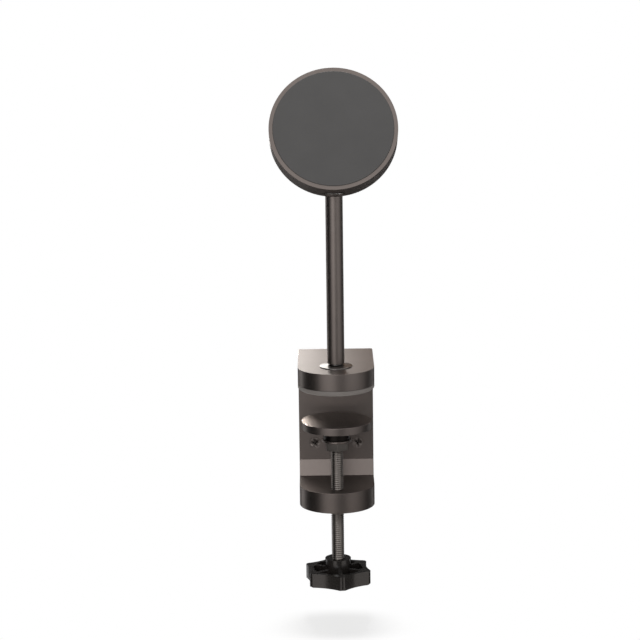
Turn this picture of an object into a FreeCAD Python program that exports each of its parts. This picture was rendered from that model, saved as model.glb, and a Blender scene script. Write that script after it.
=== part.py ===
"""Clamp-on wireless charging stand, in millimetres.

The origin is on the underside of the jaw pad, where the desk top touches it, on the axis of the post.
X is to the right, Y to the back and Z up.
"""
import FreeCAD, Part
import math
import os

os.makedirs("parts", exist_ok=True)

# Clearances
running_fit = 0.06      # radial, between a shaft and the hole it turns in
seat_fit = 0.03         # radial, between fixed round pieces
flat_gap = 0.05         # between flat faces that move on each other
side_gap = 0.2          # beside a soft sheet

# Clamp body
clamp_width = 35.6
clamp_rear = 39.0
upper_jaw_thickness = 8.0
lower_jaw_thickness = 9.7
lower_nose_y = 14.6
throat_height = 50.1
web_thickness = 4.0
web_drop = 42.3
upstand_thickness = 4.0
root_setback = 0.3
root_flare = 1.3
rear_corner_radius = 1.2
jaw_pad_thickness = 2.4
jaw_pad_edge_chamfer = 0.8

# Screws that join the two jaws
jaw_screw_spacing = 20.6
jaw_screw_z = -34.0
jaw_screw_diameter = 3.0
jaw_screw_head = 5.2
jaw_screw_head_depth = 1.3
jaw_screw_tip_wall = 0.6

# Clamp screw and swivel pad
screw_setback = 10.0    # behind the front of the lower jaw
screw_diameter = 6.0
pad_top_z = -17.0
pad_diameter = 33.0
pad_thickness = 3.7
pad_roof = 3.0
boss_neck_diameter = 12.6
boss_lip_diameter = 14.2
boss_height = 6.5
boss_lip_height = 1.4
nut_flats = 10.0
nut_height = 3.6
nut_gap = 0.3
nut_turn = 35.0

# Star knob
hub_top_z = -84.2
hub_height = 4.8
hub_diameter = 12.2
knob_height = 6.7
knob_diameter = 32.8
knob_lobes = 6
knob_lobe_turn = 6.7
lobe_radius = 1.9
scallop_depth = 3.0
knob_edge_chamfer = 0.5
pocket_depth = 3.4
knob_wall = 1.8
knob_rib = 1.6
upset_flats = 8.0
upset_height = 3.6
upset_floor = 2.0

# Post
post_diameter = 8.0
post_bore = 5.0
post_top_z = 104.0
post_chamfer = 0.5
washer_diameter = 15.2
washer_rim = 0.4
washer_cone = 0.7
washer_collar = 0.4
washer_collar_diameter = 6.4
washer_bore = 5.4
bolt_head_diameter = 8.6
bolt_head_height = 3.4
bolt_seat_depth = 4.0
bolt_reach = 10.0
bolt_socket_flats = 4.0
bolt_socket_depth = 2.0

# Tilting hinge
neck_height = 10.0      # from the top of the post to the hinge axis
rest_lean = 27.0
knuckle_diameter = 10.4
knuckle_width = 10.0
knuckle_spigot = 10.0
hinge_reach = 10.0
ear_thickness = 3.0
hinge_bolt_diameter = 4.0
hinge_bolt_head = 7.2
hinge_bolt_head_height = 2.2
hinge_socket_flats = 2.5
hinge_socket_depth = 1.3
hinge_nut_flats = 7.0
hinge_nut_height = 3.0
hinge_bolt_tip = 0.6

# Charging head, measured back from the charging face
head_diameter = 58.0
head_thickness = 11.5
head_edge_chamfer = 1.4
housing_wall = 1.8
rim_setback = 0.3
rim_width = 1.8
cover_thickness = 1.2
cover_ledge = 0.7
face_pad_thickness = 0.8
magnet_count = 16
magnet_length = 8.0
magnet_gap = 0.33
magnet_width = 3.6
magnet_thickness = 2.0
coil_margin = 0.5
coil_inner_diameter = 20.0
coil_thickness = 1.5
ferrite_gap = 0.4
ferrite_thickness = 0.8
board_width = 24.0
board_length = 38.0
board_inset = 3.53
board_thickness = 1.0
board_setback = 6.0
chip_size = 5.0
chip_height = 0.9
inductor_size = 4.2
inductor_height = 1.8
inductor_offset = 7.5
capacitor_count = 4
capacitor_width = 1.6
capacitor_length = 3.2
capacitor_height = 1.2
capacitor_pitch = 4.0
capacitor_y = 8.0
thermal_pad_margin = 1.2

# Power inlet
inlet_width = 8.9
inlet_height = 3.2
inlet_depth = 7.4
inlet_wall = 0.3
inlet_recess = 0.3
inlet_gap = 0.3
tongue_width = 6.7
tongue_thickness = 0.7
tongue_length = 4.6
inlet_back_wall = 1.0

# Places worked out from the sizes above
half_width = clamp_width / 2
screw_y = lower_nose_y - half_width + screw_setback
jaw_floor_z = jaw_pad_thickness
jaw_top_z = jaw_floor_z + upper_jaw_thickness
upstand_front = clamp_rear - upstand_thickness
web_front = upstand_front - web_thickness
lower_top_z = -throat_height
lower_floor_z = lower_top_z - lower_jaw_thickness
boss_floor_z = pad_top_z - pad_thickness - boss_height
rod_top_z = pad_top_z - pad_roof - flat_gap
nut_top_z = boss_floor_z - nut_gap
rim_top_z = hub_top_z - hub_height
knob_floor_z = rim_top_z - knob_height
upset_floor_z = knob_floor_z + upset_floor
post_base_z = jaw_top_z + washer_rim + washer_cone + washer_collar
bolt_seat_z = jaw_floor_z + bolt_seat_depth
pivot_z = post_top_z + neck_height
pivot_back = head_thickness + hinge_reach
ear_inside = knuckle_width / 2 + flat_gap
ear_outside = ear_inside + ear_thickness
cover_diameter = head_diameter - 2 * rim_width
cup_radius = cover_diameter / 2 + seat_fit - cover_ledge
magnet_front = math.sqrt((cup_radius - magnet_gap) ** 2 - (magnet_length / 2) ** 2)
ferrite_diameter = 2 * (magnet_front - magnet_width - ferrite_gap)
coil_outer_diameter = ferrite_diameter - 2 * coil_margin
cover_floor = face_pad_thickness + cover_thickness
board_floor = board_setback + board_thickness
board_low_y = board_inset - cup_radius
board_high_y = board_low_y + board_length
inner_back = head_thickness - housing_wall
inlet_centre_z = -(board_setback + board_thickness / 2)
inlet_mouth_y = -(head_diameter / 2 - inlet_recess - inlet_width ** 2 / (4 * head_diameter))

X_AXIS = FreeCAD.Vector(1, 0, 0)
Y_AXIS = FreeCAD.Vector(0, 1, 0)
Z_AXIS = FreeCAD.Vector(0, 0, 1)


def vec(x, y, z):
    """A point or direction."""
    return FreeCAD.Vector(x, y, z)


def cylinder(diameter, low, high, x=0.0, y=0.0):
    """An upright cylinder between two heights."""
    return Part.makeCylinder(diameter / 2, high - low, vec(x, y, low))


def box(x_range, y_range, z_range):
    """A box from its range along each axis."""
    size = [high - low for low, high in (x_range, y_range, z_range)]
    return Part.makeBox(*size, vec(x_range[0], y_range[0], z_range[0]))


def turned(points):
    """A solid of revolution about Z from (radius, height) corners."""
    corners = [vec(radius, 0, height) for radius, height in points]
    outline = Part.makePolygon(corners + corners[:1])
    return Part.Face(outline).revolve(vec(0, 0, 0), Z_AXIS, 360)


def hexagon(flats, low, high, y=0.0, turn=0.0):
    """An upright hexagonal prism, with a corner towards X before it is turned."""
    radius = flats / math.sqrt(3)
    angles = [math.radians(turn + 60 * step) for step in range(6)]
    corners = [vec(radius * math.cos(a), y + radius * math.sin(a), low) for a in angles]
    return Part.Face(Part.makePolygon(corners + corners[:1])).extrude(vec(0, 0, high - low))


def jaw_plan(nose_y, rear_y, low, high, width=clamp_width):
    """A plate with a half-round nose in front and straight sides."""
    half = width / 2
    nose = Part.Arc(vec(-half, nose_y, low), vec(0, nose_y - half, low), vec(half, nose_y, low)).toShape()
    right = Part.makeLine(vec(half, nose_y, low), vec(half, rear_y, low))
    back = Part.makeLine(vec(half, rear_y, low), vec(-half, rear_y, low))
    left = Part.makeLine(vec(-half, rear_y, low), vec(-half, nose_y, low))
    return Part.Face(Part.Wire([nose, right, back, left])).extrude(vec(0, 0, high - low))


def edges_at(shape, height):
    """The edges that lie wholly at one height."""
    def level(edge):
        return all(abs(vertex.Z - height) < 1e-6 for vertex in edge.Vertexes)
    return [edge for edge in shape.Edges if level(edge)]


def upright_edges(shape, y):
    """The straight edges that run along Z at one depth."""
    def upright(edge):
        limits = edge.BoundBox
        return limits.XLength < 1e-6 and limits.YLength < 1e-6 and abs(limits.YMin - y) < 1e-6
    return [edge for edge in shape.Edges if upright(edge)]


def countersunk_screw(diameter, head, head_depth, length):
    """A countersunk screw, head flush with the origin, pointing along -Z."""
    return turned([(0, 0), (head / 2, 0), (diameter / 2, -head_depth), (diameter / 2, -length), (0, -length)])


def placed(shape, placement):
    """A copy of a shape moved by a placement."""
    copy = shape.copy()
    copy.Placement = placement.multiply(copy.Placement)
    return copy


def group(shapes):
    """Separate solids kept together in one node."""
    return Part.makeCompound(shapes)


def save(name, shape):
    """Write one node."""
    shape.exportStep("parts/" + name + ".step")


def jaw_screw_places():
    """Placements of the screws that join the jaws, with their heads on the web's front."""
    facing = FreeCAD.Rotation(X_AXIS, 90)
    places = []
    for side in (-1, 1):
        position = vec(side * jaw_screw_spacing / 2, web_front, jaw_screw_z)
        places.append(FreeCAD.Placement(position, facing))
    return places


def jaw_screw_length():
    """Length of a jaw screw, which ends inside the upstand."""
    return web_thickness + upstand_thickness - jaw_screw_tip_wall


def upper_jaw():
    """The upper jaw and the web that hangs from its rear."""
    jaw = jaw_plan(0, clamp_rear, jaw_floor_z, jaw_top_z)
    jaw = jaw.makeFillet(rear_corner_radius, upright_edges(jaw, clamp_rear))
    web = box((-half_width, half_width), (web_front, upstand_front), (-web_drop, jaw_floor_z))
    body = jaw.fuse(web).removeSplitter()
    body = body.cut(cylinder(washer_bore, bolt_seat_z, jaw_top_z))
    body = body.cut(cylinder(bolt_head_diameter + 2 * side_gap, jaw_floor_z, bolt_seat_z))
    slack = 2 * seat_fit
    hole = turned([
        (0, 0), (jaw_screw_head / 2 + slack, 0), (jaw_screw_diameter / 2 + slack, -jaw_screw_head_depth),
        (jaw_screw_diameter / 2 + slack, -web_thickness), (0, -web_thickness)])
    for place in jaw_screw_places():
        body = body.cut(placed(hole, place))
    return body


def lower_jaw():
    """The lower jaw, the upstand behind the upper web and the flared root between them."""
    jaw = jaw_plan(lower_nose_y, clamp_rear, lower_floor_z, lower_top_z)
    jaw = jaw.makeFillet(rear_corner_radius, upright_edges(jaw, clamp_rear))
    upstand = box((-half_width, half_width), (upstand_front, clamp_rear), (lower_top_z, jaw_floor_z))
    upstand = upstand.makeFillet(rear_corner_radius, upright_edges(upstand, clamp_rear))
    root_top_y = web_front + root_setback
    side = Part.makePolygon([
        vec(-half_width, upstand_front, lower_top_z), vec(-half_width, web_front - root_flare, lower_top_z),
        vec(-half_width, root_top_y, -web_drop), vec(-half_width, upstand_front, -web_drop),
        vec(-half_width, upstand_front, lower_top_z)])
    root = Part.Face(side).extrude(vec(clamp_width, 0, 0))
    body = jaw.fuse([upstand, root]).removeSplitter()
    body = body.cut(cylinder(screw_diameter + 2 * running_fit, lower_floor_z, lower_top_z, y=screw_y))
    pilot = turned([
        (0, 0), (jaw_screw_diameter / 2 + seat_fit, 0),
        (jaw_screw_diameter / 2 + seat_fit, -jaw_screw_length()), (0, -jaw_screw_length())])
    for place in jaw_screw_places():
        body = body.cut(placed(pilot, place))
    return body


def jaw_screws():
    """The two countersunk screws that join the jaws."""
    screw = countersunk_screw(jaw_screw_diameter, jaw_screw_head, jaw_screw_head_depth, jaw_screw_length())
    return group([placed(screw, place) for place in jaw_screw_places()])


def jaw_pad():
    """The soft sheet under the upper jaw."""
    sheet = jaw_plan(0, web_front - side_gap, 0, jaw_pad_thickness)
    return sheet.makeChamfer(jaw_pad_edge_chamfer, edges_at(sheet, 0))


def post_washer():
    """The shallow cone that the post stands on."""
    bore = washer_bore / 2
    collar = washer_collar_diameter / 2
    rim_z = jaw_top_z + washer_rim
    return turned([
        (bore, jaw_top_z), (washer_diameter / 2, jaw_top_z), (washer_diameter / 2, rim_z),
        (collar, rim_z + washer_cone), (collar, post_base_z), (bore, post_base_z)])


def post():
    """The straight tube, chamfered at its foot."""
    outer = post_diameter / 2
    bore = post_bore / 2
    return turned([
        (bore, post_base_z), (outer - post_chamfer, post_base_z), (outer, post_base_z + post_chamfer),
        (outer, post_top_z), (bore, post_top_z)])


def post_bolt():
    """The bolt that draws the post down on to the upper jaw, hidden by the jaw pad."""
    head_floor = bolt_seat_z - bolt_head_height
    body = cylinder(bolt_head_diameter, head_floor, bolt_seat_z)
    shank = cylinder(post_bore - 2 * seat_fit, bolt_seat_z, post_base_z + bolt_reach)
    return body.fuse(shank).cut(hexagon(bolt_socket_flats, head_floor, head_floor + bolt_socket_depth))


def hinge_knuckle():
    """The barrel on top of the post, with a spigot that sits in the tube."""
    barrel = Part.makeCylinder(knuckle_diameter / 2, knuckle_width, vec(-knuckle_width / 2, 0, pivot_z), X_AXIS)
    neck = cylinder(post_diameter, post_top_z, pivot_z)
    spigot = cylinder(post_bore - 2 * seat_fit, post_top_z - knuckle_spigot, post_top_z)
    body = barrel.fuse([neck, spigot]).removeSplitter()
    bore = hinge_bolt_diameter / 2 + running_fit
    return body.cut(Part.makeCylinder(bore, knuckle_width, vec(-knuckle_width / 2, 0, pivot_z), X_AXIS))


def at_screw(shape):
    """Move a piece made about the Z axis to the axis of the clamp screw."""
    return placed(shape, FreeCAD.Placement(vec(0, screw_y, 0), FreeCAD.Rotation()))


def pad_disc():
    """The swivel pad: a disc with a lipped boss and a blind bore for the end of the clamp screw."""
    radius = pad_diameter / 2
    neck = boss_neck_diameter / 2
    lip = boss_lip_diameter / 2
    lip_top = boss_floor_z + boss_lip_height
    disc_floor = pad_top_z - pad_thickness
    body = turned([
        (0, boss_floor_z), (lip, boss_floor_z), (lip, lip_top), (neck, lip_top), (neck, disc_floor),
        (radius, disc_floor), (radius, pad_top_z), (0, pad_top_z)])
    return at_screw(body.cut(cylinder(screw_diameter + 2 * running_fit, boss_floor_z, pad_top_z - pad_roof)))


def screw_rod():
    """The clamp screw, with an upset end inside the knob."""
    rod = cylinder(screw_diameter, upset_floor_z, rod_top_z)
    upset = hexagon(upset_flats, upset_floor_z, upset_floor_z + upset_height, turn=knob_lobe_turn)
    return at_screw(rod.fuse(upset).removeSplitter())


def pad_nut():
    """The hexagon nut under the swivel pad."""
    floor_z = nut_top_z - nut_height
    blank = hexagon(nut_flats, floor_z, nut_top_z, turn=nut_turn)
    return at_screw(blank.cut(cylinder(screw_diameter + 2 * seat_fit, floor_z, nut_top_z)))


def knob_outline():
    """The lobed outline of the knob at its floor: round lobes, with tangent scallops between them."""
    half_pitch = math.radians(180 / knob_lobes)
    lobe_centre = knob_diameter / 2 - lobe_radius
    valley = knob_diameter / 2 - scallop_depth
    across = lobe_centre * math.cos(half_pitch)
    surplus = valley ** 2 + lobe_centre ** 2 - lobe_radius ** 2 - 2 * valley * across
    scallop_radius = surplus / (2 * (across + lobe_radius - valley))
    scallop_centre = valley + scallop_radius

    def polar(radius, angle):
        return vec(radius * math.cos(angle), radius * math.sin(angle), knob_floor_z)

    def tangent(lobe, side):
        hollow = polar(scallop_centre, lobe + side * half_pitch)
        bump = polar(lobe_centre, lobe)
        return bump + (hollow - bump) * (lobe_radius / (lobe_radius + scallop_radius))

    arcs = []
    for step in range(knob_lobes):
        lobe = math.radians(knob_lobe_turn - 90) + 2 * step * half_pitch
        arcs.append(Part.Arc(tangent(lobe, -1), polar(knob_diameter / 2, lobe), tangent(lobe, 1)).toShape())
        valley_floor = polar(valley, lobe + half_pitch)
        arcs.append(Part.Arc(tangent(lobe, 1), valley_floor, tangent(lobe + 2 * half_pitch, -1)).toShape())
    return Part.Wire(arcs)


def star_knob():
    """The moulded knob, with ribbed pockets round its hub."""
    body = Part.Face(knob_outline()).extrude(vec(0, 0, knob_height))
    foot = knob_diameter / 2 - knob_edge_chamfer
    body = body.common(turned([
        (0, knob_floor_z), (foot, knob_floor_z), (foot + knob_height, rim_top_z), (0, rim_top_z)]))
    pocket_floor = rim_top_z - pocket_depth
    pocket_diameter = knob_diameter - 2 * scallop_depth - 2 * knob_wall
    pocket = cylinder(pocket_diameter, pocket_floor, rim_top_z).cut(cylinder(hub_diameter, pocket_floor, rim_top_z))
    for lobe in range(knob_lobes):
        rib = box((0, knob_diameter / 2), (-knob_rib / 2, knob_rib / 2), (pocket_floor, rim_top_z))
        rib.rotate(vec(0, 0, 0), Z_AXIS, knob_lobe_turn - 90 + lobe * 360 / knob_lobes)
        pocket = pocket.cut(rib)
    hub = cylinder(hub_diameter, rim_top_z, hub_top_z)
    body = body.cut(pocket).fuse(hub).removeSplitter()
    body = body.cut(cylinder(screw_diameter + 2 * seat_fit, upset_floor_z, hub_top_z))
    upset_top = upset_floor_z + upset_height + seat_fit
    seat = hexagon(upset_flats + 2 * seat_fit, upset_floor_z, upset_top, turn=knob_lobe_turn)
    return at_screw(body.cut(seat))


def head_placement():
    """Placement of the head, whose own Z axis points out of the charging face."""
    lean = math.radians(rest_lean)
    out = vec(0, -math.cos(lean), math.sin(lean))
    return FreeCAD.Placement(vec(0, 0, pivot_z) + out * pivot_back, FreeCAD.Rotation(X_AXIS, 90 - rest_lean))


def on_head(shape):
    """Move a piece made in the head's own axes into place."""
    return placed(shape, head_placement())


def slot_prism(width, height, y_near, y_far):
    """A prism with half-round ends along X, running along Y about the inlet's centre."""
    radius = height / 2
    straight = width / 2 - radius
    z = inlet_centre_z
    length = y_far - y_near
    body = box((-straight, straight), (y_near, y_far), (z - radius, z + radius))
    ends = [Part.makeCylinder(radius, length, vec(side * straight, y_near, z), Y_AXIS) for side in (-1, 1)]
    return body.fuse(ends).removeSplitter()


def hinge_ears():
    """The two ears on the back of the head, with holes for the hinge bolt."""
    radius = knuckle_diameter / 2
    hole = hinge_bolt_diameter / 2 + seat_fit
    ears = []
    for start in (-ear_outside, ear_inside):
        web = box((start, start + ear_thickness), (-radius, radius), (-pivot_back, -head_thickness))
        eye = Part.makeCylinder(radius, ear_thickness, vec(start, 0, -pivot_back), X_AXIS)
        bore = Part.makeCylinder(hole, ear_thickness, vec(start, 0, -pivot_back), X_AXIS)
        ears.append(web.fuse(eye).removeSplitter().cut(bore))
    return ears


def rear_housing():
    """The cup of the head, in one piece with the hinge ears, with the inlet slot in its wall."""
    outer = head_diameter / 2
    seat = cover_diameter / 2 + seat_fit
    shell = turned([
        (0, -head_thickness), (outer - head_edge_chamfer, -head_thickness),
        (outer, head_edge_chamfer - head_thickness), (outer, -rim_setback), (seat, -rim_setback),
        (seat, -cover_floor), (cup_radius, -cover_floor), (cup_radius, -inner_back), (0, -inner_back)])
    shell = shell.fuse(hinge_ears()).removeSplitter()
    slot = slot_prism(inlet_width + 2 * inlet_gap, inlet_height + 2 * inlet_gap, -outer, -cup_radius / 2)
    return on_head(shell.cut(slot.common(cylinder(head_diameter, -inner_back, -cover_floor))))


def front_cover():
    """The disc that closes the cup."""
    return on_head(cylinder(cover_diameter, -cover_floor, -face_pad_thickness))


def face_pad():
    """The soft charging face, which stands a little proud of the rim."""
    return on_head(cylinder(cover_diameter, -face_pad_thickness, 0))


def magnet_ring():
    """The ring of separate magnets behind the front cover."""
    half = magnet_length / 2
    back = -cover_floor - magnet_thickness
    magnet = box((-half, half), (magnet_front - magnet_width, magnet_front), (back, -cover_floor))
    magnets = []
    for step in range(magnet_count):
        turn = FreeCAD.Rotation(Z_AXIS, step * 360 / magnet_count)
        magnets.append(on_head(placed(magnet, FreeCAD.Placement(vec(0, 0, 0), turn))))
    return group(magnets)


def charging_coil():
    """The flat winding behind the front cover."""
    coil_floor = -cover_floor - coil_thickness
    ring = cylinder(coil_outer_diameter, coil_floor, -cover_floor)
    return on_head(ring.cut(cylinder(coil_inner_diameter, coil_floor, -cover_floor)))


def ferrite_plate():
    """The disc behind the winding."""
    top = -cover_floor - coil_thickness
    return on_head(cylinder(ferrite_diameter, top - ferrite_thickness, top))


def circuit_board():
    """The board behind the winding, notched for the inlet."""
    half = board_width / 2
    board = box((-half, half), (board_low_y, board_high_y), (-board_floor, -board_setback))
    notch_half = inlet_width / 2 + seat_fit
    notch_end = inlet_mouth_y + inlet_depth + seat_fit
    return on_head(board.cut(box((-notch_half, notch_half), (board_low_y, notch_end), (-board_floor, -board_setback))))


def component(x, y, width, length, height):
    """One block on the back of the board, centred at x and y."""
    return box(
        (x - width / 2, x + width / 2), (y - length / 2, y + length / 2), (-board_floor - height, -board_floor))


def board_parts():
    """The chip, inductors and capacitors on the back of the board."""
    solids = [component(0, 0, chip_size, chip_size, chip_height)]
    for side in (-1, 1):
        solids.append(component(side * inductor_offset, 0, inductor_size, inductor_size, inductor_height))
    for step in range(capacitor_count):
        x = (step - (capacitor_count - 1) / 2) * capacitor_pitch
        solids.append(component(x, capacitor_y, capacitor_width, capacitor_length, capacitor_height))
    return group([on_head(solid) for solid in solids])


def thermal_pad():
    """The soft pad that carries the board's tall parts on the rear wall."""
    half_x = inductor_offset + inductor_size / 2 + thermal_pad_margin
    half_y = inductor_size / 2 + thermal_pad_margin
    return on_head(box((-half_x, half_x), (-half_y, half_y), (-inner_back, -board_floor - inductor_height)))


def power_inlet_shell():
    """The metal sleeve of the power inlet, closed at its back."""
    back = inlet_mouth_y + inlet_depth
    sleeve = slot_prism(inlet_width, inlet_height, inlet_mouth_y, back)
    hollow = slot_prism(
        inlet_width - 2 * inlet_wall, inlet_height - 2 * inlet_wall, inlet_mouth_y, back - inlet_back_wall)
    return on_head(sleeve.cut(hollow))


def power_inlet_tongue():
    """The contact tongue inside the inlet."""
    back = inlet_mouth_y + inlet_depth - inlet_back_wall
    half = tongue_thickness / 2
    tongue = box(
        (-tongue_width / 2, tongue_width / 2), (back - tongue_length, back),
        (inlet_centre_z - half, inlet_centre_z + half))
    return on_head(tongue)


def along_hinge(shape):
    """Turn a piece made along Z to lie along the hinge axis, in the head's own axes."""
    place = FreeCAD.Placement(vec(0, 0, -pivot_back), FreeCAD.Rotation(Y_AXIS, 90))
    return on_head(placed(shape, place))


def hinge_bolt():
    """The bolt that the head tilts on, with its head on the right."""
    tip = -ear_outside - hinge_nut_height - hinge_bolt_tip
    shank = cylinder(hinge_bolt_diameter, tip, ear_outside)
    head_top = ear_outside + hinge_bolt_head_height
    head = cylinder(hinge_bolt_head, ear_outside, head_top)
    socket = hexagon(hinge_socket_flats, head_top - hinge_socket_depth, head_top)
    return along_hinge(shank.fuse(head).cut(socket))


def hinge_nut():
    """The nut on the left end of the hinge bolt."""
    floor = -ear_outside - hinge_nut_height
    blank = hexagon(hinge_nut_flats, floor, -ear_outside)
    return along_hinge(blank.cut(cylinder(hinge_bolt_diameter + 2 * seat_fit, floor, -ear_outside)))


NODES = (
    upper_jaw, lower_jaw, jaw_screws, jaw_pad, post_washer, post, post_bolt, hinge_knuckle,
    pad_disc, screw_rod, pad_nut, star_knob,
    rear_housing, front_cover, face_pad, magnet_ring, charging_coil, ferrite_plate, circuit_board,
    board_parts, thermal_pad, power_inlet_shell, power_inlet_tongue, hinge_bolt, hinge_nut)

for make in NODES:
    save(make.__name__, make())
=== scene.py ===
"""Dresses the solids of a clamp-on charging stand and sets up a plain studio round it."""
import logging
import math
from dataclasses import dataclass, field, replace
from enum import Enum

import bmesh
import bpy
from mathutils import Euler, Matrix, Vector


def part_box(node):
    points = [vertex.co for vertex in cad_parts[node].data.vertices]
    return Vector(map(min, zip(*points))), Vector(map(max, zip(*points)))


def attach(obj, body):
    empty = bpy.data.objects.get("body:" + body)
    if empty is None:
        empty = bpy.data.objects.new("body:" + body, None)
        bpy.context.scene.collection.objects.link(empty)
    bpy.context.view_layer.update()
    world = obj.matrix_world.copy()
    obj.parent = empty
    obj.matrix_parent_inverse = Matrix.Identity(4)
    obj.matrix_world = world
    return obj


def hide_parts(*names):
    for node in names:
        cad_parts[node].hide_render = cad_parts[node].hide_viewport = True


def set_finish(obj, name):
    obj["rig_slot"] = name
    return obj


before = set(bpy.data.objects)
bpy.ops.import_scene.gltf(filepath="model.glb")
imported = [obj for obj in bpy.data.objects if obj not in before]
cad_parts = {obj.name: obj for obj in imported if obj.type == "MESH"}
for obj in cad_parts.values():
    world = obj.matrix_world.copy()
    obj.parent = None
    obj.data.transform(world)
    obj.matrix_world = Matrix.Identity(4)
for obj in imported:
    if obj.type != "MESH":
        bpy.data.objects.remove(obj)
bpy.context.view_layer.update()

MM = 0.001
# Corners closer than this, in metres, are one.
WELD = 1e-6
# Faces that meet at less than this, in degrees, are one.
FLAT_ANGLE = 0.3
# Edges sharper than this, in degrees, stay crisp.
CREASE = 35.0
# Nearly all values of a noise lie between these two.
NOISE_LOW, NOISE_HIGH = 0.25, 0.75
LOG = logging.getLogger("stand")

Colour = tuple[float, float, float]
Pair = tuple[float, float]
Point = tuple[float, float, float]
Profile = list[Pair]
Socket = bpy.types.NodeSocket


class Body(Enum):
    """The bodies that the pieces ride on."""

    FRAME = "clamp_frame"
    PAD = "clamp_pad"
    SCREW = "clamp_screw"
    HEAD = "charging_head"


class Slot(Enum):
    """The material slots of the record."""

    ANODISED = "anodised_metal"
    SOFT = "soft_pad"
    POLISHED = "polished_metal"
    FASTENER = "screw_steel"
    THREAD = "thread_steel"
    KNOB = "knob_plastic"
    COVER = "cover_plastic"
    MAGNET = "magnet_metal"
    COPPER = "copper"
    FERRITE = "ferrite"
    BOARD = "board_laminate"
    COMPONENT = "component_plastic"
    INLET = "inlet_steel"


class Sector(Enum):
    """Bearings that a card spans, in degrees from the front towards the right."""

    LEFT = (-118.0, -50.0)
    FRONT_LEFT = (-50.0, -4.0)
    FRONT = (-4.0, 26.0)
    FRONT_RIGHT = (26.0, 66.0)
    RIGHT = (66.0, 92.0)
    FAR_RIGHT = (92.0, 132.0)
    REAR = (140.0, 220.0)


class NodeBench:
    """Adds and joins the nodes of one material or world."""

    def __init__(self, owner: bpy.types.Material | bpy.types.World, output: str) -> None:
        """Clear the owner's nodes and give it an output.

        Args:
            owner: the material or world.
            output: type name of its output node.
        """
        owner.use_nodes = True
        self.tree = owner.node_tree
        self.tree.nodes.clear()
        self.surface = self.add(output).inputs["Surface"]

    def add(self, kind: str, values: dict[str, object] | None = None, **settings: object) -> bpy.types.Node:
        """Add a node.

        Args:
            kind: the node's type name.
            values: constants for its inputs.
            settings: attributes to set on it.

        Returns:
            The new node.
        """
        node = self.tree.nodes.new(kind)
        for name, value in settings.items():
            setattr(node, name, value)
        for name, value in (values or {}).items():
            node.inputs[name].default_value = value
        return node

    def join(self, source: Socket, target: Socket) -> None:
        """Link an output to an input."""
        self.tree.links.new(source, target)

    def seen(self) -> Socket:
        """Tell rays that show a surface from rays that light it.

        Returns:
            A value of 1 for rays that show it and 0 for the others.
        """
        path = self.add("ShaderNodeLightPath")
        total = path.outputs["Is Camera Ray"]
        for name in ("Is Glossy Ray", "Is Transmission Ray"):
            either = self.add("ShaderNodeMath", operation="MAXIMUM")
            self.join(total, either.inputs[0])
            self.join(path.outputs[name], either.inputs[1])
            total = either.outputs["Value"]
        return total


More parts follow.
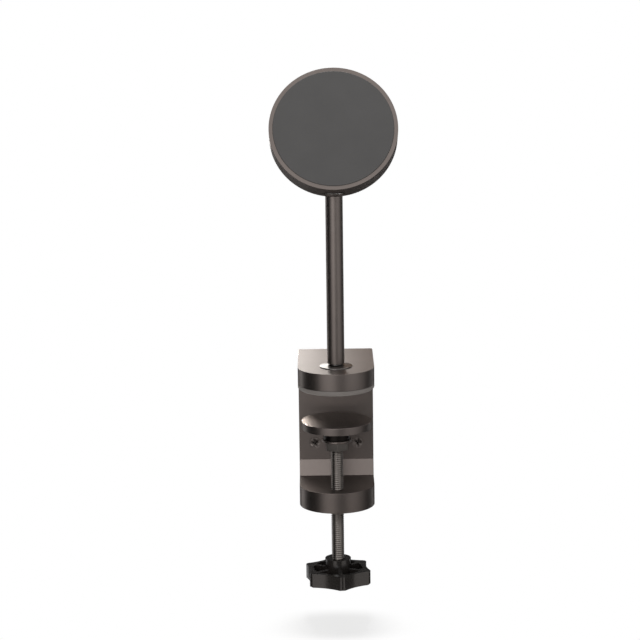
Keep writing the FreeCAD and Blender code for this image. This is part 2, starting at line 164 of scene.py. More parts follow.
class SurfaceBench(NodeBench):
    """Adds and joins the nodes of one surface of a piece."""

    def __init__(self, name: str) -> None:
        """Start a material with a surface shader.

        Args:
            name: the material's name.
        """
        self.material = bpy.data.materials.new(name)
        super().__init__(self.material, "ShaderNodeOutputMaterial")
        self.shader = self.add("ShaderNodeBsdfPrincipled")
        self.join(self.shader.outputs["BSDF"], self.surface)
        self.place = self.add("ShaderNodeTexCoord").outputs["Object"]

    def noise(self, scale: float, octaves: float, stretch: Point = (1.0, 1.0, 1.0)) -> Socket:
        """Add a noise that is fixed to the piece.

        Args:
            scale: features per metre.
            octaves: how many finer layers it has.
            stretch: factors on each axis.

        Returns:
            The noise's value, around 0.5.
        """
        mapping = self.add("ShaderNodeMapping", {"Scale": stretch})
        self.join(self.place, mapping.inputs["Vector"])
        noise = self.add("ShaderNodeTexNoise", {"Scale": scale, "Detail": octaves})
        self.join(mapping.outputs["Vector"], noise.inputs["Vector"])
        return noise.outputs["Fac"]

    def between(self, value: Socket, low: float, high: float) -> Socket:
        """Spread a noise over a range.

        Args:
            value: the noise, around 0.5.
            low: result for a low noise.
            high: result for a high noise.

        Returns:
            The spread value.
        """
        limits = {"From Min": NOISE_LOW, "From Max": NOISE_HIGH, "To Min": low, "To Max": high}
        spread = self.add("ShaderNodeMapRange", limits)
        self.join(value, spread.inputs["Value"])
        return spread.outputs["Result"]

    def tones(self, value: Socket, dark: Colour, light: Colour) -> Socket:
        """Mix two tones by a noise.

        Args:
            value: the noise, around 0.5.
            dark: colour for a low noise.
            light: colour for a high noise.

        Returns:
            The mixed colour.
        """
        ramp = self.add("ShaderNodeValToRGB")
        stops = ((NOISE_LOW, dark), (NOISE_HIGH, light))
        for element, (position, colour) in zip(ramp.color_ramp.elements, stops):
            element.position = position
            element.color = (*colour, 1.0)
        self.join(value, ramp.inputs["Fac"])
        return ramp.outputs["Color"]

    def paint_shade_band(self, tone: Socket, heights: Pair, loss: float) -> Socket:
        """Paint shade into a tone between two heights of the piece.

        Args:
            tone: the colour so far.
            heights: where the band begins and ends, in metres.
            loss: share of the colour that the band loses.

        Returns:
            The colour with painted shade in the band.
        """
        apart = self.add("ShaderNodeSeparateXYZ")
        self.join(self.place, apart.inputs["Vector"])
        inside = self.add("ShaderNodeMath", operation="COMPARE")
        inside.inputs[1].default_value = sum(heights) / 2
        inside.inputs[2].default_value = (heights[1] - heights[0]) / 2
        self.join(apart.outputs["Z"], inside.inputs[0])
        dimming = (*grey(1.0 - loss), 1.0)
        dimmed = self.add("ShaderNodeMix", {"B": dimming}, data_type="RGBA", blend_type="MULTIPLY")
        self.join(tone, dimmed.inputs["A"])
        self.join(inside.outputs["Value"], dimmed.inputs["Factor"])
        return dimmed.outputs["Result"]

    def relief(self, height: Socket, strength: float, depth: float) -> None:
        """Give the surface a fine relief.

        Args:
            height: the relief's height value.
            strength: share of the relief that shows.
            depth: real depth in metres.
        """
        bump = self.add("ShaderNodeBump", {"Strength": strength, "Distance": depth})
        self.join(height, bump.inputs["Height"])
        self.join(bump.outputs["Normal"], self.shader.inputs["Normal"])


def grey(level: float) -> Colour:
    """A grey of one level."""
    return (level, level, level)


def shade(colour: Colour, factor: float) -> Colour:
    """A colour made lighter or darker by a factor."""
    return tuple(min(1.0, channel * factor) for channel in colour)


@dataclass(frozen=True)
class Finish:
    """A surface with a slight mottle, a grain in its gloss, a fine relief and, where a band is given,
    painted shade between two heights.

    Colours are linear, scales are features per metre and depths are metres.
    """

    slot: Slot
    colour: Colour
    roughness: float
    metallic: float = 0.0
    name: str = ""
    mottle: float = 0.08
    mottle_scale: float = 90.0
    mottle_octaves: float = 4.0
    gloss_spread: float = 0.05
    grain_scale: float = 2600.0
    grain_octaves: float = 3.0
    grain_stretch: Point = (1.0, 1.0, 1.0)
    grain_depth: float = 0.01 * MM
    grain_strength: float = 0.25
    specular: float = 0.5
    # Heights of a band of painted shade, and the share of colour that it takes away.
    painted_shade_band: Pair | None = None
    painted_shade_loss: float = 0.88

    def material(self) -> bpy.types.Material:
        """Build the finish.

        Returns:
            The material.
        """
        bench = SurfaceBench(self.name or self.slot.value)
        bench.shader.inputs["Metallic"].default_value = self.metallic
        bench.shader.inputs["Specular IOR Level"].default_value = self.specular
        cloud = bench.noise(self.mottle_scale, self.mottle_octaves)
        dark, light = (shade(self.colour, factor) for factor in (1.0 - self.mottle, 1.0 + self.mottle))
        tone = bench.tones(cloud, dark, light)
        # Painted shade: darken the colour between two heights, where shade falls.
        if self.painted_shade_band:
            tone = bench.paint_shade_band(tone, self.painted_shade_band, self.painted_shade_loss)
        bench.join(tone, bench.shader.inputs["Base Color"])
        grain = bench.noise(self.grain_scale, self.grain_octaves, self.grain_stretch)
        gloss = bench.between(grain, self.roughness - self.gloss_spread, self.roughness + self.gloss_spread)
        bench.join(gloss, bench.shader.inputs["Roughness"])
        bench.relief(grain, self.grain_strength, self.grain_depth)
        return bench.material


FINISHES = {finish.slot: finish for finish in (
    Finish(Slot.ANODISED, (0.165, 0.141, 0.130), 0.40, metallic=1.0, mottle=0.05, grain_depth=0.006 * MM),
    Finish(Slot.SOFT, (0.15, 0.134, 0.123), 0.50, mottle=0.10, grain_scale=1800.0, grain_depth=0.03 * MM),
    Finish(Slot.POLISHED, (0.20, 0.19, 0.182), 0.32, metallic=1.0, mottle=0.04, grain_depth=0.002 * MM),
    Finish(Slot.FASTENER, (0.19, 0.166, 0.154), 0.55, metallic=1.0, mottle=0.06, grain_strength=0.1),
    Finish(Slot.THREAD, (0.21, 0.19, 0.175), 0.34, metallic=1.0, mottle=0.10, mottle_scale=400.0),
    Finish(
        Slot.KNOB, (0.016, 0.0135, 0.012), 0.21, specular=0.65, mottle=0.12, grain_scale=3200.0,
        grain_depth=0.015 * MM),
    Finish(Slot.COVER, (0.030, 0.029, 0.029), 0.50, mottle=0.10, grain_depth=0.02 * MM),
    Finish(Slot.MAGNET, (0.56, 0.55, 0.54), 0.28, metallic=1.0, mottle=0.06),
    Finish(Slot.COPPER, (0.62, 0.29, 0.15), 0.32, metallic=1.0, mottle=0.12, grain_scale=1600.0),
    Finish(
        Slot.FERRITE, (0.050, 0.050, 0.054), 0.70, mottle=0.20, grain_scale=1500.0,
        grain_depth=0.03 * MM),
    Finish(Slot.BOARD, (0.016, 0.085, 0.045), 0.34, mottle=0.15, mottle_scale=500.0),
    Finish(Slot.COMPONENT, (0.022, 0.022, 0.023), 0.48, mottle=0.15),
    Finish(Slot.INLET, (0.48, 0.47, 0.46), 0.26, metallic=1.0, mottle=0.05, grain_stretch=(1.0, 0.15, 1.0)),
)}


def finished(form: bmesh.types.BMesh, name: str, crease: float = CREASE) -> bpy.types.Object:
    """Turn a form into a piece in the scene.

    Args:
        form: the mesh in the making, which is freed.
        name: the piece's name.
        crease: edges sharper than this many degrees stay crisp.

    Returns:
        The new object.
    """
    bmesh.ops.recalc_face_normals(form, faces=form.faces)
    mesh = bpy.data.meshes.new(name)
    form.to_mesh(mesh)
    form.free()
    kept_normals = mesh.attributes.get("custom_normal")
    if kept_normals:
        mesh.attributes.remove(kept_normals)
    mesh.shade_smooth()
    mesh.set_sharp_from_angle(angle=math.radians(crease))
    piece = bpy.data.objects.new(name, mesh)
    bpy.context.scene.collection.objects.link(piece)
    even_out(piece)
    return piece


def settle(piece: bpy.types.Object) -> None:
    """Make a piece's modifiers part of its mesh.

    Args:
        piece: the piece.
    """
    bpy.context.view_layer.update()
    shown = piece.evaluated_get(bpy.context.evaluated_depsgraph_get())
    piece.data = bpy.data.meshes.new_from_object(shown)
    piece.data.name = piece.name
    piece.modifiers.clear()


def even_out(piece: bpy.types.Object) -> None:
    """Let large faces shade flat and leave the turn to the narrow faces at their edges.

    Args:
        piece: the piece whose normals are weighted.
    """
    weighting = piece.modifiers.new("even_out", "WEIGHTED_NORMAL")
    weighting.keep_sharp = True
    settle(piece)


def cut_away(piece: bpy.types.Object, tool: bpy.types.Object) -> None:
    """Cut one object out of another and remove the tool.

    Args:
        piece: the piece that is cut.
        tool: the shape that is taken away.
    """
    cut = piece.modifiers.new("cut", "BOOLEAN")
    cut.operation = "DIFFERENCE"
    cut.solver = "EXACT"
    cut.object = tool
    settle(piece)
    bpy.data.objects.remove(tool)


def solid_copy(node: str) -> bmesh.types.BMesh:
    """Copy a solid and weld its faces together.

    Args:
        node: the solid's node.

    Returns:
        The copy.
    """
    form = bmesh.new()
    form.from_mesh(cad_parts[node].data)
    bmesh.ops.remove_doubles(form, verts=form.verts, dist=WELD)
    return form


def eased_copy(node: str, ease: float, steps: int = 2, corner: float = 25.0) -> bmesh.types.BMesh:
    """Copy a solid and ease its edges.

    Args:
        node: the solid's node.
        ease: width of the easing in metres.
        steps: faces across an eased edge.
        corner: edges sharper than this many degrees are eased.

    Returns:
        The eased form.
    """
    form = solid_copy(node)
    bmesh.ops.dissolve_limit(
        form, angle_limit=math.radians(FLAT_ANGLE), verts=form.verts, edges=form.edges)
    limit = math.radians(corner)
    edges = [edge for edge in form.edges if len(edge.link_faces) == 2 and edge.calc_face_angle() > limit]
    bmesh.ops.bevel(
        form, geom=edges, offset=ease, offset_type="OFFSET", segments=steps, profile=0.5, affect="EDGES",
        clamp_overlap=True)
    return form


def cut_level(form: bmesh.types.BMesh, height: float, side: int) -> None:
    """Cut a form level and close the cut.

    Args:
        form: the form that is cut.
        height: where it is cut.
        side: 1 drops what lies above the cut and -1 what lies below it.
    """
    cut = bmesh.ops.bisect_plane(
        form, geom=form.verts[:] + form.edges[:] + form.faces[:], plane_co=(0, 0, height),
        plane_no=(0, 0, side), clear_outer=True)
    rim = [item for item in cut["geom_cut"] if isinstance(item, bmesh.types.BMEdge)]
    bmesh.ops.holes_fill(form, edges=rim)


def turned(profile: Profile, centre: Pair, segments: int) -> bmesh.types.BMesh:
    """Turn a closed profile about an upright axis.

    Args:
        profile: (radius, height) corners; a radius of 0 closes the form on the axis.
        centre: the axis's x and y.
        segments: faces round the axis.

    Returns:
        The turned form.
    """
    form = bmesh.new()
    rings: list[list[bmesh.types.BMVert]] = []
    for radius, height in profile:
        if radius == 0.0:
            rings.append([form.verts.new((centre[0], centre[1], height))])
            continue
        ring = []
        for step in range(segments):
            angle = 2 * math.pi * step / segments
            ring.append(form.verts.new((
                centre[0] + radius * math.cos(angle), centre[1] + radius * math.sin(angle), height)))
        rings.append(ring)
    for low, high in zip(rings, rings[1:] + rings[:1]):
        for step in range(segments):
            after = (step + 1) % segments
            if len(low) == 1 and len(high) == 1:
                break
            if len(low) == 1:
                form.faces.new((low[0], high[step], high[after]))
            elif len(high) == 1:
                form.faces.new((low[step], low[after], high[0]))
            else:
                form.faces.new((low[step], low[after], high[after], high[step]))
    return form


def rounded(corners: list[Point], steps: int = 5) -> Profile:
    """Round the corners of a profile.

    Args:
        corners: (radius, height, rounding) of each corner in order.
        steps: points along a rounding.

    Returns:
        The rounded profile.
    """
    points: Profile = []
    count = len(corners)
    for place, (radius, height, rounding) in enumerate(corners):
        if rounding == 0.0:
            points.append((radius, height))
            continue
        here = Vector((radius, height))
        before = (Vector(corners[place - 1][:2]) - here).normalized()
        after = (Vector(corners[(place + 1) % count][:2]) - here).normalized()
        half = before.angle(after) / 2
        start = here + before * rounding / math.tan(half)
        end = here + after * rounding / math.tan(half)
        centre = here + (before + after).normalized() * rounding / math.sin(half)
        for step in range(steps + 1):
            share = step / steps
            spoke = (start - centre).slerp(end - centre, share).normalized() * rounding
            points.append((centre + spoke)[:])
    return points


@dataclass
class SubAssembly:
    """A group of pieces on one body."""

    body: Body
    pieces: list[bpy.types.Object] = field(default_factory=list)
    nodes: dict[str, Slot] = field(default_factory=dict)
    own: dict[str, Finish] = field(default_factory=dict)

    def keep(self, piece: bpy.types.Object, slot: Slot, *stands_for: str) -> None:
        """Let a piece ride on the body in place of its solids.

        Args:
            piece: the new piece.
            slot: its material slot.
            stands_for: the nodes that it replaces.
        """
        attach(piece, self.body.value)
        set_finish(piece, slot.value)
        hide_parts(*stands_for)
        self.pieces.append(piece)

    def keep_eased(self, node: str, name: str, ease: float, slot: Slot, steps: int = 2) -> None:
        """Keep a copy of a solid with eased edges in its place.

        Args:
            node: the solid's node.
            name: the piece's name.
            ease: width of the easing in metres.
            slot: its material slot.
            steps: faces across an eased edge.
        """
        self.keep(finished(eased_copy(node, ease, steps), name), slot, node)

    def dress(self, materials: dict[Slot, bpy.types.Material]) -> None:
        """Give each piece and each solid that stays its finish.

        Args:
            materials: the finish of each slot.
        """
        for piece in self.pieces:
            piece.data.materials.clear()
            own = self.own.get(piece.name)
            piece.data.materials.append(own.material() if own else materials[Slot(piece["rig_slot"])])
            LOG.info("piece %s on %s", piece.name, self.body.value)
        for node, slot in self.nodes.items():
            for material_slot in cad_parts[node].material_slots:
                material_slot.material = materials[slot]
            LOG.info("solid %s on %s", node, self.body.value)


@dataclass
class DeskClamp(SubAssembly):
    """The two jaws, the screws that join them and the soft sheet."""

    body: Body = Body.FRAME
    jaw_ease: float = 0.16 * MM
    sheet_ease: float = 0.3 * MM
    shank_diameter: float = 3.0 * MM
    tip_rounding: float = 0.2 * MM
    head_diameter: float = 5.2 * MM
    head_depth: float = 1.3 * MM
    head_bevel: float = 0.12 * MM
    head_rounding: float = 0.05 * MM
    screw_segments: int = 48
    screw_turn: float = 12.0
    recess_length: float = 2.0 * MM
    recess_width: float = 0.48 * MM
    recess_depth: float = 2.2 * MM
    recess_taper: Pair = (0.80, 0.9)
    recess_margin: float = 0.2 * MM

    def build(self) -> None:
        """Make the jaws, the sheet and the screws."""
        self.keep_eased("upper_jaw", "upper_jaw_body", self.jaw_ease, Slot.ANODISED)
        self.keep_eased("lower_jaw", "lower_jaw_body", self.jaw_ease, Slot.ANODISED)
        self.keep_eased("jaw_pad", "jaw_sheet", self.sheet_ease, Slot.SOFT)
        low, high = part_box("jaw_screws")
        middle = (low.z + high.z) / 2
        offset = (high.x - low.x - self.head_diameter) / 2
        for side, name in ((-1, "left"), (1, "right")):
            screw = self.screw(high.y - low.y, "jaw_screw_" + name)
            turn = Euler((math.radians(90), math.radians(side * self.screw_turn), 0)).to_matrix().to_4x4()
            screw.data.transform(Matrix.Translation((side * offset, low.y, middle)) @ turn)
            self.keep(screw, Slot.FASTENER, "jaw_screws")

    def screw(self, length: float, name: str) -> bpy.types.Object:
        """Make a countersunk screw with a cross recess, head up at the origin.

        Args:
            length: overall length.
            name: the piece's name.

        Returns:
            The screw.
        """
        head = self.head_diameter / 2
        shank = self.shank_diameter / 2
        profile = rounded([
            (0.0, -length, 0.0), (shank, -length, self.tip_rounding), (shank, -self.head_depth, 0.0),
            (head, -self.head_bevel, self.head_rounding), (head - self.head_bevel, 0.0, self.head_rounding),
            (0.0, 0.0, 0.0)])
        screw = finished(turned(profile, (0.0, 0.0), self.screw_segments), name)
        for turn in (0, 90):
            form = bmesh.new()
            bmesh.ops.create_cube(form, size=1.0)
            for corner in form.verts:
                taper = (1.0, 1.0) if corner.co.z > 0 else self.recess_taper
                corner.co.x *= self.recess_length * taper[0]
                corner.co.y *= self.recess_width * taper[1]
                corner.co.z = self.recess_margin if corner.co.z > 0 else -self.recess_depth
            form.transform(Matrix.Rotation(math.radians(turn), 4, "Z"))
            cut_away(screw, finished(form, name + "_recess"))
        screw.data.set_sharp_from_angle(angle=math.radians(CREASE))
        even_out(screw)
        return screw


@dataclass
class Post(SubAssembly):
    """The tube with its cone washer, hidden bolt and hinge knuckle."""

    body: Body = Body.FRAME
    wall: float = 1.5 * MM
    foot_rounding: float = 0.4 * MM
    top_rounding: float = 0.1 * MM
    tube_segments: int = 96
    rim_height: float = 0.4 * MM
    rim_roundings: Pair = (0.05 * MM, 0.16 * MM)
    cone_height: float = 0.7 * MM
    cone_segments: int = 128
    collar_radius: float = 3.2 * MM
    collar_rounding: float = 0.3 * MM
    bore_radius: float = 2.7 * MM
    knuckle_ease: float = 0.3 * MM
    knuckle_steps: int = 3

    def build(self) -> None:
        """Make the tube, the washer and the knuckle."""
        low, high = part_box("post")
        radius = (high.x - low.x) / 2
        bore = radius - self.wall
        tube = rounded([
            (bore, low.z, 0.0), (radius, low.z, self.foot_rounding), (radius, high.z, self.top_rounding),
            (bore, high.z, 0.0)])
        form = turned(tube, (0.0, 0.0), self.tube_segments)
        self.keep(finished(form, "post_tube"), Slot.ANODISED, "post")
        low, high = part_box("post_washer")
        rim = (high.x - low.x) / 2
        cone_foot = low.z + self.rim_height
        washer = rounded([
            (self.bore_radius, low.z, 0.0), (rim, low.z, self.rim_roundings[0]),
            (rim, cone_foot, self.rim_roundings[1]),
            (self.collar_radius, cone_foot + self.cone_height, self.collar_rounding),
            (self.collar_radius, high.z, 0.0), (self.bore_radius, high.z, 0.0)])
        form = turned(washer, (0.0, 0.0), self.cone_segments)
        self.keep(finished(form, "post_cone"), Slot.POLISHED, "post_washer")
        self.keep_eased(
            "hinge_knuckle", "hinge_barrel", self.knuckle_ease, Slot.ANODISED, self.knuckle_steps)
        self.nodes = {"post_bolt": Slot.FASTENER}


@dataclass
class SwivelPad(SubAssembly):
    """The round pad on the end of the clamp screw, with painted shade darkening the neck above its lip."""

    body: Body = Body.PAD
    lip_radius: float = 7.1 * MM
    neck_radius: float = 6.3 * MM
    neck_fillets: Pair = (0.1 * MM, 0.5 * MM)
    boss_height: float = 6.5 * MM
    boss_lip: float = 1.4 * MM
    bore_radius: float = 3.06 * MM
    roof: float = 3.0 * MM
    rim_rounding: float = 0.3 * MM
    lip_rounding: float = 0.65 * MM
    # Gap between the band of painted shade and the lip's and the disc's faces.
    shade_band_gap: float = 0.02 * MM
    segments: int = 128

    def build(self) -> None:
        """Make the pad."""
        low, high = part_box("pad_disc")
        radius = (high.x - low.x) / 2
        floor = low.z + self.boss_height
        lip_top = low.z + self.boss_lip
        bore_top = high.z - self.roof
        profile = rounded([
            (0.0, bore_top, 0.0), (self.bore_radius, bore_top, 0.0), (self.bore_radius, low.z, 0.0),
            (self.lip_radius, low.z, self.lip_rounding), (self.lip_radius, lip_top, self.lip_rounding),
            (self.neck_radius, lip_top, self.neck_fillets[0]),
            (self.neck_radius, floor, self.neck_fillets[1]),
            (radius, floor, self.rim_rounding), (radius, high.z, self.rim_rounding), (0.0, high.z, 0.0)])
        axis = ((low.x + high.x) / 2, (low.y + high.y) / 2)
        self.keep(finished(turned(profile, axis, self.segments), "swivel_pad"), Slot.ANODISED, "pad_disc")
        # Painted shade: the neck between the lip and the disc is darkened in the finish, standing in for the
        # shade that the disc casts on it.
        band = (lip_top + self.shade_band_gap, floor - self.shade_band_gap)
        self.own["swivel_pad"] = replace(FINISHES[Slot.ANODISED], name="pad_metal_painted_shade", painted_shade_band=band)


@dataclass
class ClampScrew(SubAssembly):
    """The threaded rod with its nut and star knob."""

    body: Body = Body.SCREW
    pitch: float = 1.0 * MM
    thread_radius: float = 3.0 * MM
    thread_depth: float = 0.52 * MM
    thread_crease: float = 60.0
    thread_steps: int = 40
    crest: float = 0.16
    root: float = 0.22
    lead_in: float = 1.5
    spare_turns: int = 3
    upset_height: float = 3.6 * MM
    upset_gap: float = 0.01 * MM
    nut_ease: float = 0.15 * MM
    nut_colour: Colour = (0.135, 0.122, 0.112)
    knob_ease: float = 0.42 * MM
    knob_steps: int = 3

    def build(self) -> None:
        """Make the rod, its upset end, the nut and the knob."""
        low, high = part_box("screw_rod")
        nut_low, nut_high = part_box("pad_nut")
        axis = ((low.x + high.x) / 2, (nut_low.y + nut_high.y) / 2)
        top_of_upset = low.z + self.upset_height
        rod = self.thread(axis, top_of_upset, high.z)
        self.keep(finished(rod, "clamp_thread", self.thread_crease), Slot.THREAD, "screw_rod")
        upset = solid_copy("screw_rod")
        cut_level(upset, top_of_upset - self.upset_gap, 1)
        self.keep(finished(upset, "clamp_screw_end"), Slot.THREAD, "screw_rod")
        self.keep_eased("pad_nut", "pad_lock_nut", self.nut_ease, Slot.THREAD)
        self.own["pad_lock_nut"] = replace(FINISHES[Slot.THREAD], name="nut_metal", colour=self.nut_colour)
        self.keep_eased("star_knob", "star_grip", self.knob_ease, Slot.KNOB, self.knob_steps)

    def thread(self, axis: Pair, bottom: float, top: float) -> bmesh.types.BMesh:
        """Wind a right-hand thread between two heights.

        Args:
            axis: the rod's x and y.
            bottom: lower end.
            top: upper end.

        Returns:
            The threaded rod, closed at both ends.
        """
        major = self.thread_radius
        minor = major - self.thread_depth
        crest_foot = self.root + (1.0 - self.crest - self.root) / 2
        section = ((minor, 0.0), (minor, self.root), (major, crest_foot), (major, crest_foot + self.crest))
        form = bmesh.new()
        turns = math.ceil((top - bottom) / self.pitch) + self.spare_turns
        rows: list[list[bmesh.types.BMVert]] = []
        for step in range(turns * self.thread_steps + 1):
            angle = 2 * math.pi * step / self.thread_steps
            base = bottom - self.lead_in * self.pitch + self.pitch * step / self.thread_steps
            across, along = math.cos(angle), math.sin(angle)
            rows.append([
                form.verts.new((
                    axis[0] + radius * across, axis[1] + radius * along, base + rise * self.pitch))
                for radius, rise in section])
        for step in range(len(rows) - 1):
            here, after = rows[step], rows[step + 1]
            for place in range(len(section) - 1):
                form.faces.new((here[place], after[place], after[place + 1], here[place + 1]))
            above = step + self.thread_steps
            if above + 1 < len(rows):
                form.faces.new((here[-1], after[-1], rows[above + 1][0], rows[above][0]))
        cut_level(form, bottom, -1)
        cut_level(form, top, 1)
        return form


@dataclass
class ChargingHead(SubAssembly):
    """The leaning disc that holds and charges a device, with its hinge and inlet."""

    body: Body = Body.HEAD
    housing_ease: float = 0.5 * MM
    cover_ease: float = 0.1 * MM
    face_ease: float = 0.25 * MM
    fastener_ease: float = 0.2 * MM
    inlet_ease: float = 0.06 * MM
    face_finish: Finish = Finish(
        Slot.SOFT, (0.038, 0.036, 0.035), 0.55, name="soft_face", mottle=0.08, grain_scale=2200.0,
        grain_depth=0.03 * MM)

    def build(self) -> None:
        """Make the housing, the charging face, the hinge fasteners and the inlet."""
        eased = (
            ("rear_housing", "head_cup", self.housing_ease, Slot.ANODISED),
            ("front_cover", "head_cover", self.cover_ease, Slot.COVER),
            ("face_pad", "charging_face", self.face_ease, Slot.SOFT),
            ("hinge_bolt", "tilt_bolt", self.fastener_ease, Slot.FASTENER),
            ("hinge_nut", "tilt_nut", self.fastener_ease, Slot.FASTENER),
            ("power_inlet_shell", "inlet_sleeve", self.inlet_ease, Slot.INLET),
            ("power_inlet_tongue", "inlet_tongue", self.inlet_ease, Slot.COVER),
        )
        for node, name, ease, slot in eased:
            self.keep_eased(node, name, ease, slot)
        self.own["charging_face"] = self.face_finish
        self.nodes = {
            "magnet_ring": Slot.MAGNET, "charging_coil": Slot.COPPER, "ferrite_plate": Slot.FERRITE,
            "circuit_board": Slot.BOARD, "board_parts": Slot.COMPONENT, "thermal_pad": Slot.SOFT,
        }


@dataclass
class Lamp:
    """One area light, whose spread is the full angle of its beam in degrees."""

    name: str
    place: Point
    target: Point
    size: Pair
    power: float
    colour: Colour = (1.0, 1.0, 1.0)
    spread: float = 180.0

    def build(self) -> None:
        """Hang the lamp."""
        light = bpy.data.lights.new(self.name, "AREA")
        light.shape = "RECTANGLE"
        light.size, light.size_y = self.size
        light.energy = self.power
        light.color = self.colour
        light.spread = math.radians(self.spread)
        lamp = bpy.data.objects.new(self.name, light)
        lamp.location = self.place
        lamp.rotation_euler = (Vector(self.target) - Vector(self.place)).to_track_quat("-Z", "Y").to_euler()
        lamp.visible_camera = False
        bpy.context.scene.collection.objects.link(lamp)


@dataclass
class Card:
    """A toned card, bent round the object, that shows only in reflections.

    Bearings are degrees from the front towards the right; near and far are (reach, height) in metres.
    """

    name: str
    start: float
    end: float
    tone: Colour
    near: Pair
    far: Pair
    steps: int = 8

    def build(self) -> None:
        """Stand or lay the card between its two bearings."""
        form = bmesh.new()
        columns = []
        for step in range(self.steps + 1):
            bearing = math.radians(self.start + (self.end - self.start) * step / self.steps)
            way = Vector((math.sin(bearing), -math.cos(bearing), 0.0))
            columns.append([
                form.verts.new(way * reach + Vector((0.0, 0.0, height)))
                for reach, height in (self.near, self.far)])
        for here, after in zip(columns, columns[1:]):
            form.faces.new((here[0], after[0], after[1], here[1]))
        card = finished(form, self.name)
        card.data.materials.append(self.material())
        card.visible_camera = False
        card.visible_diffuse = False
        card.visible_shadow = False

    def material(self) -> bpy.types.Material:
        """Make the card's even glow.

        Returns:
            The material.
        """
        material = bpy.data.materials.new(self.name)
        bench = NodeBench(material, "ShaderNodeOutputMaterial")
        glow = bench.add("ShaderNodeEmission", {"Color": (*self.tone, 1.0), "Strength": 1.0})
        bench.join(glow.outputs["Emission"], bench.surface)
        material.cycles.emission_sampling = "NONE"
        return material


@dataclass
class Studio:
    """The pale floor, the white surround, the lamps, the cards and the camera."""

    floor_z: float = -118.0 * MM
    floor_reach: float = 12.0
    floor_segments: int = 64
    floor_albedo: float = 0.85
    # Painted shadow: the floor's glow drops to this share near the centre below, within its reach and
    # squashed to its depth, so a soft dark ellipse shows beneath the object besides the real shadow.
    floor_glow: float = 0.60
    painted_shadow_reach: Pair = (18.0 * MM, 46.0 * MM)
    painted_shadow_centre: Pair = (0.0, 6.8 * MM)
    painted_shadow_depth: float = 0.6
    sky_level: float = 0.6
    camera_place: Point = (-7.103 * MM, -1052.057 * MM, 245.947 * MM)
    camera_pitch: float = 11.471
    camera_roll: float = 0.758
    camera_lens: float = 130.565
    camera_sensor: float = 36.0
    camera_clip: Pair = (0.05, 50.0)
    lamps: tuple[Lamp, ...] = (
        Lamp("rear_left_box", (-0.110, 0.34, 0.15), (0.0, 0.0, 0.02), (0.22, 0.20), 0.46, (1.0, 0.97, 0.92)),
        Lamp(
            "pad_spot", (-0.0228, 0.0484, 0.010), (-0.013, 0.003, -0.017), (0.005, 0.005), 0.0042,
            (1.0, 0.94, 0.87), 80.0),
        Lamp("front_box", (-0.20, -0.88, 0.22), (0.0, 0.0, 0.0), (0.5, 0.22), 1.75),
        Lamp("top_box", (0.0, 0.02, 0.9), (0.0, 0.0, 0.0), (0.16, 0.16), 5.0),
    )
    card_reach: float = 0.40
    card_foot: float = -117.0 * MM
    card_middle: float = 150.0 * MM
    card_inner: float = 50.0 * MM
    standing: tuple[tuple[Sector, Colour, float], ...] = (
        (Sector.LEFT, grey(0.02), 0.9),
        (Sector.FRONT, grey(0.18), 0.06),
        (Sector.FRONT_RIGHT, grey(0.95), 0.2),
        (Sector.RIGHT, grey(0.55), 0.9),
        (Sector.FAR_RIGHT, grey(0.06), 0.9),
        (Sector.REAR, grey(0.05), 0.06),
    )
    lying: tuple[tuple[Sector, Colour], ...] = (
        (Sector.LEFT, grey(0.02)),
        (Sector.FRONT_LEFT, grey(0.48)),
        (Sector.FRONT, grey(0.04)),
        (Sector.FRONT_RIGHT, grey(0.26)),
        (Sector.RIGHT, grey(0.22)),
        (Sector.FAR_RIGHT, grey(0.03)),
        (Sector.REAR, grey(0.05)),
    )
    near: tuple[tuple[str, float, float, Colour], ...] = (
        ("near_left", -118.0, -44.0, grey(0.02)),
        ("near_front_left", -44.0, -14.0, (1.0, 0.93, 0.88)),
        ("near_front", -14.0, 34.0, grey(0.04)),
        ("near_right", 34.0, 76.0, (0.8, 0.74, 0.70)),
        ("near_far_right", 76.0, 132.0, grey(0.03)),
        ("near_rear", *Sector.REAR.value, grey(0.05)),
    )
    low_wall_top: float = 23.0 * MM
    low_wall_tone: Colour = grey(0.05)
    warm_bearings: Pair = (150.0, 180.0)
    warm_heights: Pair = (60.0 * MM, 300.0 * MM)
    warm_tone: Colour = (0.17, 0.085, 0.04)

    def build(self) -> None:
        """Set the whole studio up."""
        self.surround()
        self.floor()
        for fitting in (*self.lamps, *self.cards()):
            fitting.build()
        self.camera()
        bpy.context.scene.view_settings.view_transform = "Standard"

    def cards(self) -> list[Card]:
        """List the cards that the metal mirrors.

        Returns:
            The standing cards, those on the floor, and a low and a warm one at the rear.
        """
        foot, middle, inner = (
            (reach, self.card_foot) for reach in (self.card_reach, self.card_middle, self.card_inner))
        low_top = (self.card_middle, self.low_wall_top)
        warm_low, warm_high = ((self.card_reach, height) for height in self.warm_heights)
        cards = []
        for sector, tone, top in self.standing:
            name = sector.name.lower() + "_wall"
            cards.append(Card(name, *sector.value, tone, foot, (self.card_reach, top)))
        for sector, tone in self.lying:
            cards.append(Card(sector.name.lower() + "_floor", *sector.value, tone, middle, foot))
        for name, start, end, tone in self.near:
            cards.append(Card(name, start, end, tone, inner, middle))
        cards.append(Card("low_rear_wall", *Sector.REAR.value, self.low_wall_tone, middle, low_top))
        cards.append(Card("rear_right_card", *self.warm_bearings, self.warm_tone, warm_low, warm_high))
        return cards

    def surround(self) -> None:
        """Make the white surround."""
        world = bpy.data.worlds.new("surround")
        bpy.context.scene.world = world
        bench = NodeBench(world, "ShaderNodeOutputWorld")
        level = bench.add("ShaderNodeMapRange", {"To Min": self.sky_level, "To Max": 1.0})
        bench.join(bench.seen(), level.inputs["Value"])
        back = bench.add("ShaderNodeBackground", {"Color": (1.0, 1.0, 1.0, 1.0)})
        bench.join(level.outputs["Result"], back.inputs["Strength"])
        bench.join(back.outputs["Background"], bench.surface)

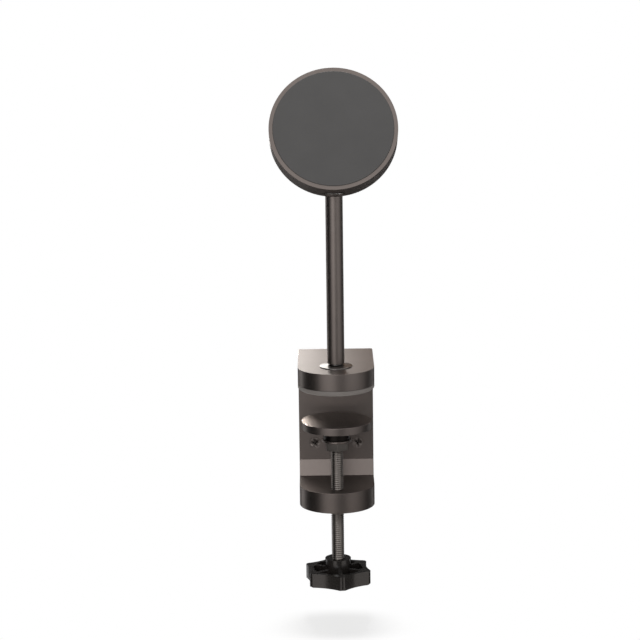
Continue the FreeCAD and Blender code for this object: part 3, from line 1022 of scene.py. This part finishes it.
    def floor(self) -> None:
        """Lay the pale floor, which keeps the real soft shadow and a painted shadow round it."""
        form = bmesh.new()
        bmesh.ops.create_circle(form, cap_ends=True, radius=self.floor_reach, segments=self.floor_segments)
        floor = finished(form, "floor")
        floor.location = (*self.painted_shadow_centre, self.floor_z)
        # Squashes the painted shadow into an ellipse.
        floor.scale.y = self.painted_shadow_depth
        floor.data.materials.append(self.floor_material())

    def floor_material(self) -> bpy.types.Material:
        """Make the floor's surface, whose glow fades towards the shadow's centre, painting a soft shadow
        beneath the object on top of the real one.

        Returns:
            The material.
        """
        material = bpy.data.materials.new("pale_floor")
        bench = NodeBench(material, "ShaderNodeOutputMaterial")
        matt = bench.add("ShaderNodeBsdfDiffuse", {"Color": (*grey(self.floor_albedo), 1.0)})
        glow = bench.add("ShaderNodeEmission", {"Strength": 1.0})
        distance = bench.add("ShaderNodeVectorMath", operation="LENGTH")
        bench.join(bench.add("ShaderNodeTexCoord").outputs["Object"], distance.inputs[0])
        # Painted shadow: less glow near the centre darkens the floor there.
        near, far = self.painted_shadow_reach
        limits = {"From Min": near, "From Max": far, "To Min": self.floor_glow, "To Max": 1.0}
        fade = bench.add("ShaderNodeMapRange", limits, interpolation_type="SMOOTHSTEP")
        bench.join(distance.outputs["Value"], fade.inputs["Value"])
        share = bench.add("ShaderNodeMath", operation="MULTIPLY")
        bench.join(bench.seen(), share.inputs[0])
        bench.join(fade.outputs["Result"], share.inputs[1])
        mix = bench.add("ShaderNodeMixShader")
        bench.join(share.outputs["Value"], mix.inputs["Fac"])
        bench.join(matt.outputs["BSDF"], mix.inputs[1])
        bench.join(glow.outputs["Emission"], mix.inputs[2])
        bench.join(mix.outputs["Shader"], bench.surface)
        return material

    def camera(self) -> None:
        """Set the camera at the photograph's view."""
        data = bpy.data.cameras.new("view")
        data.lens = self.camera_lens
        data.sensor_width = self.camera_sensor
        data.clip_start, data.clip_end = self.camera_clip
        camera = bpy.data.objects.new("view", data)
        tilt = Matrix.Rotation(math.radians(90.0 - self.camera_pitch), 4, "X")
        roll = Matrix.Rotation(math.radians(-self.camera_roll), 4, "Z")
        camera.matrix_world = Matrix.Translation(self.camera_place) @ tilt @ roll
        bpy.context.scene.collection.objects.link(camera)
        bpy.context.scene.camera = camera


def main() -> None:
    """Build and dress each sub-assembly, then set up the studio."""
    logging.basicConfig(level=logging.INFO, format="%(name)s %(message)s")
    materials = {slot: finish.material() for slot, finish in FINISHES.items()}
    for part in (DeskClamp(), Post(), SwivelPad(), ClampScrew(), ChargingHead()):
        part.build()
        part.dress(materials)
    Studio().build()


if __name__ == "__main__":
    main()
